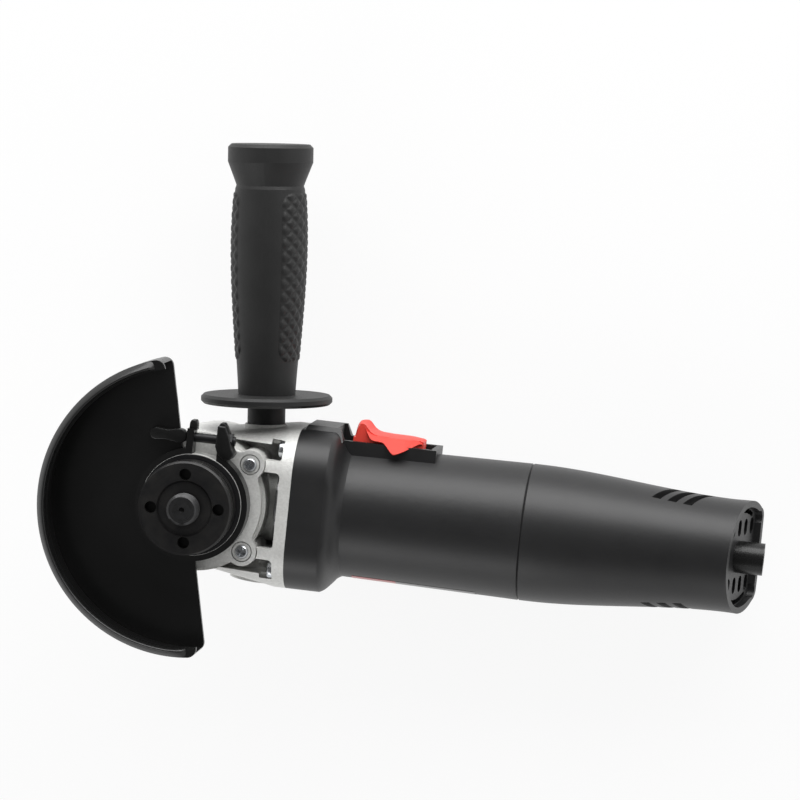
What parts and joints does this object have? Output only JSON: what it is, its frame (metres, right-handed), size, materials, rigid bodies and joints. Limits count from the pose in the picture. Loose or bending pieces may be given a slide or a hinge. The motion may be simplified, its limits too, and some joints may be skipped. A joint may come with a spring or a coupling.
{
  "type": "angle grinder",
  "caption": "Corded angle grinder with a slide switch, leaning side handle, half-round wheel guard on a lever clamp, and a bare threaded spindle with its lock nut.",
  "frame": {"origin": "on the spindle axis, level with the lock nut's outer face", "axes": "+Z along the spindle out of the tool, +X back along the body, +Y to the side handle"},
  "size_m": [0.3175, 0.2276, 0.101],
  "materials": {
    "cast_aluminium": "satin",
    "zinc_steel": "satin",
    "steel": "satin",
    "black_steel": "satin",
    "black_plastic": "satin",
    "grip_plastic": "matte",
    "red_plastic": "satin",
    "grey_plastic": "matte",
    "black_rubber": "gloss",
    "copper": "satin",
    "core_steel": "matte",
    "bronze": "satin",
    "carbon": "matte"
  },
  "bodies": {
    "housing": {"gear_case": "cast_aluminium", "bearing_cap": "cast_aluminium", "cap_screws": "zinc_steel", "bearing_retainer": "steel", "case_screws": "zinc_steel", "spindle_bearing_outer": "steel", "spindle_bush": "bronze", "front_bearing_outer": "steel", "front_bearing_plate": "steel", "rear_bearing_outer": "steel", "motor_housing": "black_plastic", "fan_baffle": "grey_plastic", "stator_core": "core_steel", "field_coils": "copper", "brush_holders": "bronze", "carbon_brushes": "carbon", "brush_springs": "steel", "rear_cover": "black_plastic", "cord_gland": "black_rubber", "switch_module": "grey_plastic", "handle_stud": "zinc_steel", "handle_grip": "grip_plastic", "lock_spring": "steel"},
    "armature": {"armature_shaft": "steel", "armature_core": "core_steel", "armature_windings": "copper", "commutator": "copper", "cooling_fan": "grey_plastic", "pinion": "steel", "pinion_nut": "steel", "front_bearing_inner": "steel", "rear_bearing_inner": "steel"},
    "spindle": {"spindle": "steel", "spindle_bearing_inner": "steel", "crown_gear": "steel", "inner_flange": "black_steel", "lock_nut": "black_steel"},
    "guard": {"guard_shell": "black_steel", "clamp_band": "black_steel", "clamp_bolt": "black_steel"},
    "clamp_lever": {"clamp_lever": "black_steel"},
    "switch": {"switch_slider": "red_plastic", "switch_rod": "grey_plastic"},
    "lock_button": {"lock_button": "black_plastic"}
  },
  "joints": [
    {"name": "armature_spin", "type": "hinge", "parent": "housing", "child": "armature", "pos_m": [0.09, 0, -0.06], "axis": [1, 0, 0], "continuous": true},
    {"name": "spindle_spin", "type": "hinge", "parent": "housing", "child": "spindle", "pos_m": [0, 0, -0.03], "axis": [0, 0, 1], "continuous": true},
    {"name": "guard_turn", "type": "hinge", "parent": "housing", "child": "guard", "pos_m": [0, 0, -0.02], "axis": [0, 0, 1], "range_deg": [-100, 100]},
    {"name": "clamp_lever_swing", "type": "hinge", "parent": "guard", "child": "clamp_lever", "pos_m": [-0.0082, 0.0296, -0.0195], "axis": [0, 0, 1], "range_deg": [-100, 0]},
    {"name": "switch_slide", "type": "slide", "parent": "housing", "child": "switch", "axis": [-1, 0, 0], "range_m": [0, 0.006]},
    {"name": "lock_press", "type": "slide", "parent": "housing", "child": "lock_button", "axis": [0, 0, 1], "range_m": [0, 0.0035], "stiffness_N_per_m": 800, "springref_m": -0.002, "deforming": ["lock_spring"]}
  ],
  "couplings": [
    {"joint": "spindle_spin", "follows": "armature_spin", "ratio": -0.33333}
  ]
}
